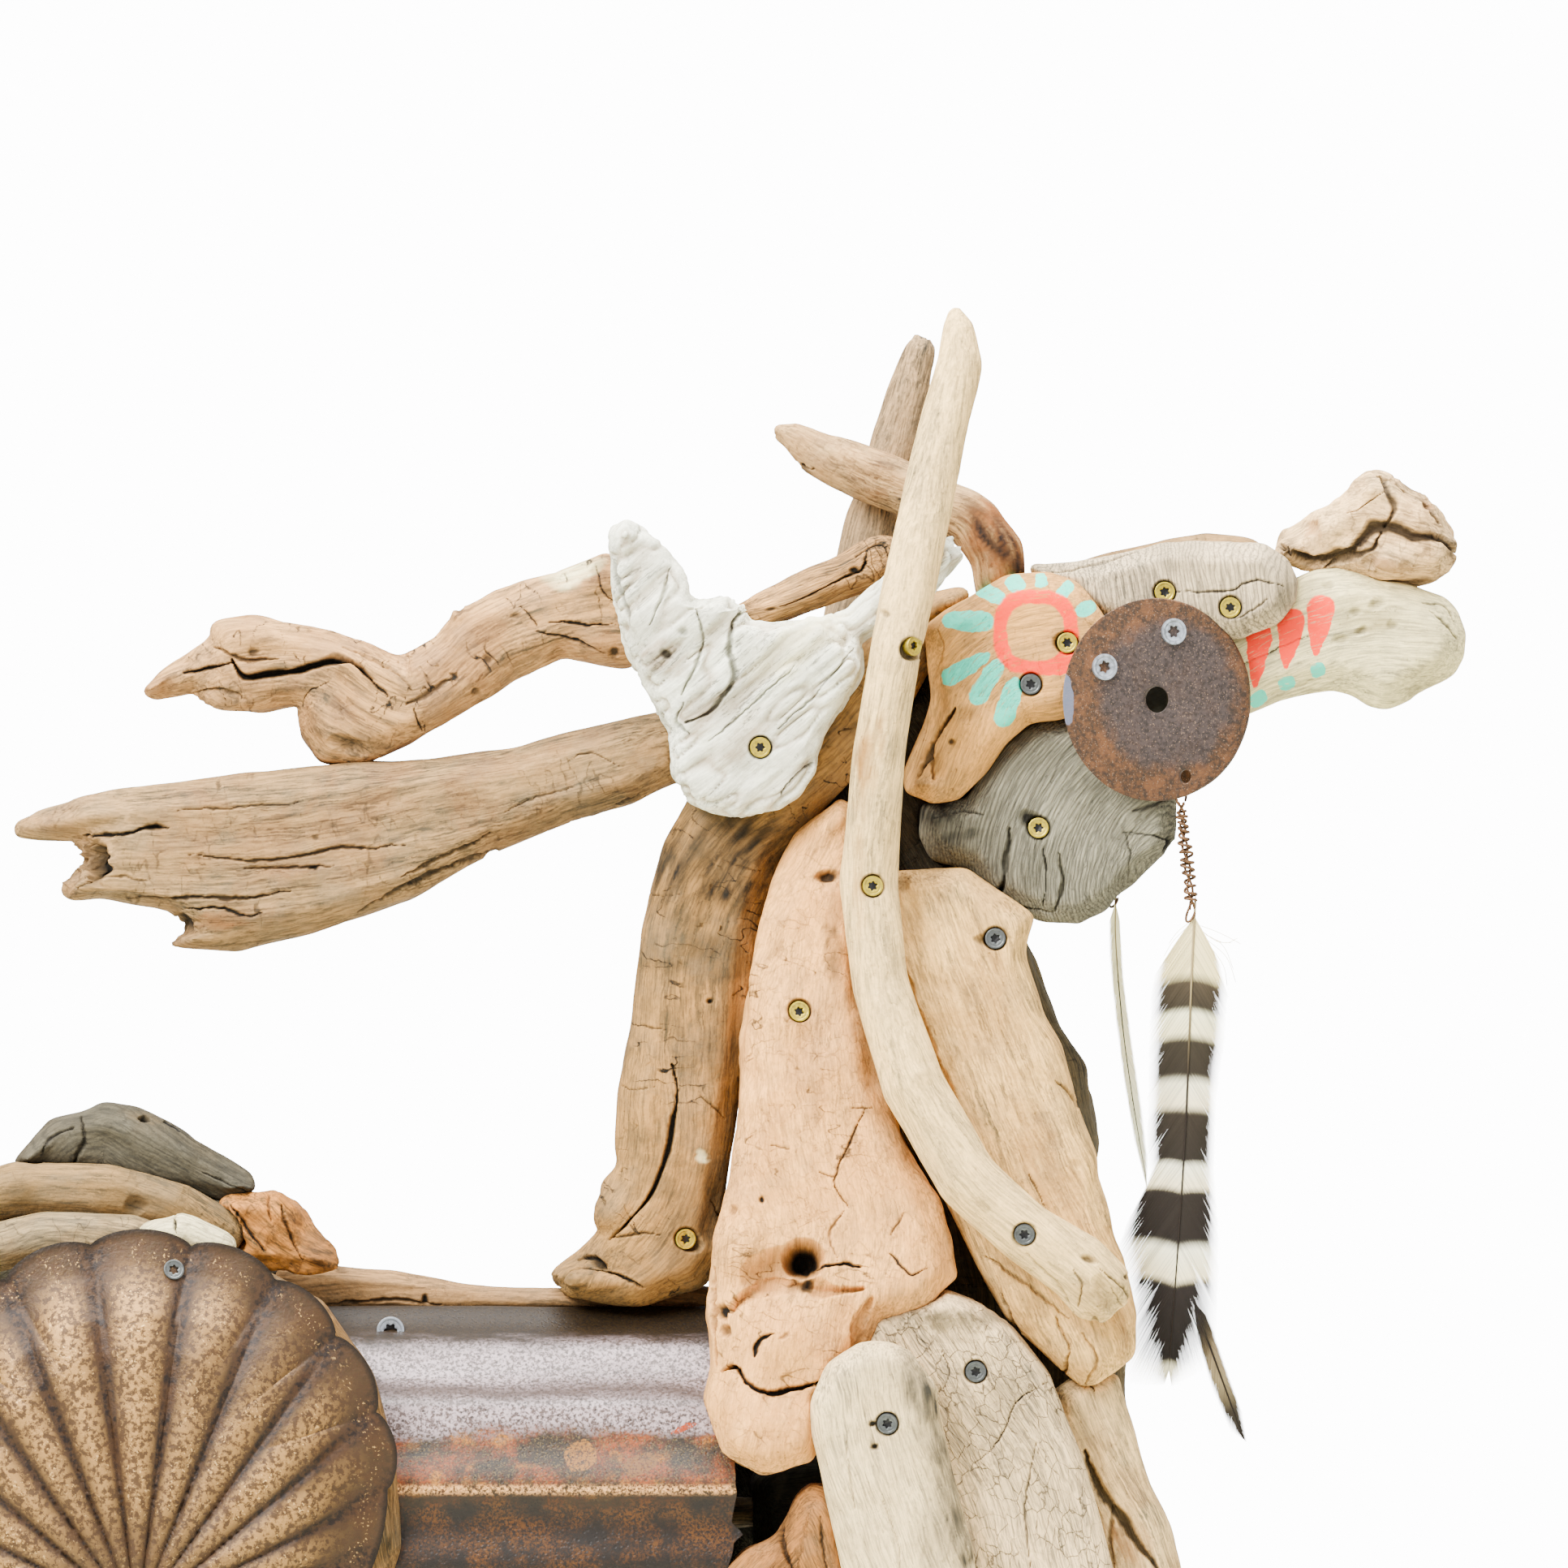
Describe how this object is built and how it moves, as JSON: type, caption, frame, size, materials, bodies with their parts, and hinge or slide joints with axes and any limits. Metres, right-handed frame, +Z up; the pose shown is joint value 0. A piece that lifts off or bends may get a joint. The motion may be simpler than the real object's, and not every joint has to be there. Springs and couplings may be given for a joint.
{
  "type": "horse sculpture",
  "caption": "Standing horse put together from driftwood, bone, a fluted iron drum, a scalloped pan, rusted discs and barred feathers, on a low board.",
  "frame": {"origin": "middle of the base board's underside", "axes": "+X towards the horse's nose, +Y away from the viewer to its far side, +Z up"},
  "size_m": [0.6998, 0.236, 0.8903],
  "materials": {
    "wood_bleached": "bleached and weathered, matt",
    "wood_pale": "weathered, matt",
    "wood_peach": "weathered, matt",
    "wood_tan": "weathered, matt",
    "wood_brown": "weathered, matt",
    "wood_grey": "weathered, matt",
    "wood_orange": "freshly broken, matt",
    "bone": "bleached bone, smooth and matt",
    "rusted_iron": "rusted, matt",
    "rusted_sheet": "rusted under a clear glossy coat",
    "copper": "bare copper wire, tarnished",
    "feather": "barred vane, matt",
    "base_wood": "oiled board"
  },
  "bodies": {
    "root": {"nose_burl": "wood_bleached", "mane_wing": "wood_bleached", "rump_white": "wood_bleached", "mane_stick": "wood_pale", "neck_front": "wood_pale", "shoulder_light": "wood_pale", "chest_edge": "wood_pale", "spine_board": "wood_pale", "haunch_board": "wood_pale", "tail_lower": "wood_pale", "foreleg_far_upper": "wood_pale", "hindleg_near_lower": "wood_pale", "neck_main": "wood_peach", "cheek": "wood_tan", "cheek_far": "wood_tan", "brow_far": "wood_tan", "mane_branch_upper": "wood_tan", "mane_branch_lower": "wood_tan", "elbow": "wood_tan", "neck_far": "wood_tan", "haunch_far": "wood_tan", "rump_tan": "wood_tan", "tail_upper": "wood_tan", "foreleg_near_upper": "wood_tan", "hindleg_far_upper": "wood_tan", "drum_bar": "wood_brown", "crest_log": "wood_brown", "mane_branch_middle": "wood_brown", "throat_piece": "wood_brown", "neck_far_front": "wood_brown", "chest_log": "wood_brown", "haunch_block": "wood_brown", "foreleg_far_lower": "wood_brown", "hindleg_near_upper": "wood_brown", "brow": "wood_grey", "jaw": "wood_grey", "jaw_far": "wood_grey", "mane_horn": "wood_grey", "mane_stick_rear": "wood_grey", "shoulder_slab": "wood_grey", "shoulder_far": "wood_grey", "rump_grey": "wood_grey", "rump_grey_low": "wood_grey", "rump_far": "wood_grey", "foreleg_near_lower": "wood_grey", "hindleg_far_lower": "wood_grey", "rump_orange": "wood_orange", "muzzle": "bone", "eye_disc": "rusted_iron", "eye_disc_far": "rusted_iron", "shell_pan": "rusted_iron", "barrel": "rusted_sheet", "copper_wire": "copper", "copper_wire_far": "copper", "feather": "feather", "feather_small": "feather", "feather_far": "feather", "base_board": "base_wood"}
  },
  "joints": []
}
